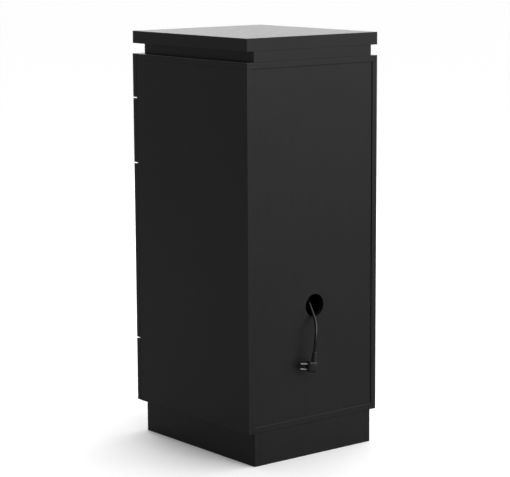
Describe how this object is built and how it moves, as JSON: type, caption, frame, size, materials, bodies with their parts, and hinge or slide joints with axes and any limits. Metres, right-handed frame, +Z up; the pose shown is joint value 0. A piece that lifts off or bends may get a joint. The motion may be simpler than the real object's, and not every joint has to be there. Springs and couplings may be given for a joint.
{
  "type": "uv sterilizer cabinet",
  "caption": "Tall black salon cabinet with drawers and a hinged door over an ultraviolet steriliser compartment; recessed neck and plinth, cable hole and mains cord at the back.",
  "frame": {"origin": "on the floor, at the centre of the footprint measured from the bar pulls to the back", "axes": "+Z up; the fronts face -Y and the back board faces +Y; +X is the right-hand side seen from the front"},
  "size_m": [0.396, 0.5138, 1],
  "materials": {
    "black_melamine": "satin",
    "drawer_melamine": "satin",
    "zinc_steel": "satin",
    "satin_nickel": "satin",
    "chrome_wire": "polished",
    "white_enamel": "satin",
    "bright_aluminium": "polished",
    "white_plastic": "gloss",
    "tube_glass": "polished",
    "black_plastic": "satin",
    "cord_pvc": "satin",
    "nickel_brass": "polished"
  },
  "bodies": {
    "carcass": {"top_slab": "black_melamine", "neck_front_rail": "black_melamine", "neck_back_rail": "black_melamine", "neck_side_rails": "black_melamine", "carcass_top": "black_melamine", "left_side_panel": "black_melamine", "right_side_panel": "black_melamine", "bottom_board": "black_melamine", "lower_shelf": "black_melamine", "upper_shelf": "black_melamine", "cam_fittings": "zinc_steel", "back_panel": "black_melamine", "plinth_front": "black_melamine", "plinth_back": "black_melamine", "plinth_sides": "black_melamine", "cabinet_rails": "zinc_steel", "hinge_arms": "zinc_steel", "catch_magnet": "black_plastic", "lower_rack": "chrome_wire", "upper_rack": "chrome_wire", "rack_pins": "zinc_steel", "lamp_housing": "white_enamel", "lamp_ballast": "white_enamel", "lamp_reflector": "bright_aluminium", "lamp_holders": "white_plastic", "uv_tubes": "tube_glass", "switch_bezel": "black_plastic", "cord_gland": "cord_pvc", "cord_drop": "cord_pvc", "cord_coil": "cord_pvc", "cord_outlet": "cord_pvc", "plug_body": "cord_pvc", "plug_blades": "nickel_brass"},
    "bottom_drawer": {"bottom_drawer_front": "black_melamine", "bottom_drawer_handle": "satin_nickel", "bottom_drawer_box_sides": "drawer_melamine", "bottom_drawer_box_ends": "drawer_melamine", "bottom_drawer_box_floor": "drawer_melamine", "bottom_drawer_inner_rails": "zinc_steel"},
    "bottom_drawer_runners": {"bottom_drawer_middle_rails": "zinc_steel"},
    "middle_drawer": {"middle_drawer_front": "black_melamine", "middle_drawer_handle": "satin_nickel", "middle_drawer_box_sides": "drawer_melamine", "middle_drawer_box_ends": "drawer_melamine", "middle_drawer_box_floor": "drawer_melamine", "middle_drawer_inner_rails": "zinc_steel"},
    "middle_drawer_runners": {"middle_drawer_middle_rails": "zinc_steel"},
    "top_drawer": {"top_drawer_front": "black_melamine", "top_drawer_handle": "satin_nickel", "top_drawer_box_sides": "drawer_melamine", "top_drawer_box_ends": "drawer_melamine", "top_drawer_box_floor": "drawer_melamine", "top_drawer_inner_rails": "zinc_steel"},
    "top_drawer_runners": {"top_drawer_middle_rails": "zinc_steel"},
    "door": {"door_panel": "black_melamine", "door_handle": "satin_nickel", "hinge_cups": "zinc_steel", "catch_strike": "zinc_steel"},
    "rocker": {"rocker_switch": "black_plastic"}
  },
  "joints": [
    {"name": "bottom_drawer_slide", "type": "slide", "parent": "carcass", "child": "bottom_drawer", "axis": [0, -1, 0], "range_m": [0, 0.3]},
    {"name": "bottom_drawer_runner_slide", "type": "slide", "parent": "carcass", "child": "bottom_drawer_runners", "axis": [0, -1, 0], "range_m": [0, 0.15]},
    {"name": "middle_drawer_slide", "type": "slide", "parent": "carcass", "child": "middle_drawer", "axis": [0, -1, 0], "range_m": [0, 0.3]},
    {"name": "middle_drawer_runner_slide", "type": "slide", "parent": "carcass", "child": "middle_drawer_runners", "axis": [0, -1, 0], "range_m": [0, 0.15]},
    {"name": "top_drawer_slide", "type": "slide", "parent": "carcass", "child": "top_drawer", "axis": [0, -1, 0], "range_m": [0, 0.3]},
    {"name": "top_drawer_runner_slide", "type": "slide", "parent": "carcass", "child": "top_drawer_runners", "axis": [0, -1, 0], "range_m": [0, 0.15]},
    {"name": "door_hinge", "type": "hinge", "parent": "carcass", "child": "door", "pos_m": [-0.192, -0.208, 0.458], "axis": [0, 0, -1], "range_deg": [0, 95]},
    {"name": "rocker_pivot", "type": "hinge", "parent": "carcass", "child": "rocker", "pos_m": [0.11, -0.0705, 0.6472], "axis": [-1, 0, 0], "range_deg": [0, 14]}
  ],
  "couplings": [
    {"joint": "bottom_drawer_runner_slide", "follows": "bottom_drawer_slide", "ratio": 0.5},
    {"joint": "middle_drawer_runner_slide", "follows": "middle_drawer_slide", "ratio": 0.5},
    {"joint": "top_drawer_runner_slide", "follows": "top_drawer_slide", "ratio": 0.5}
  ]
}
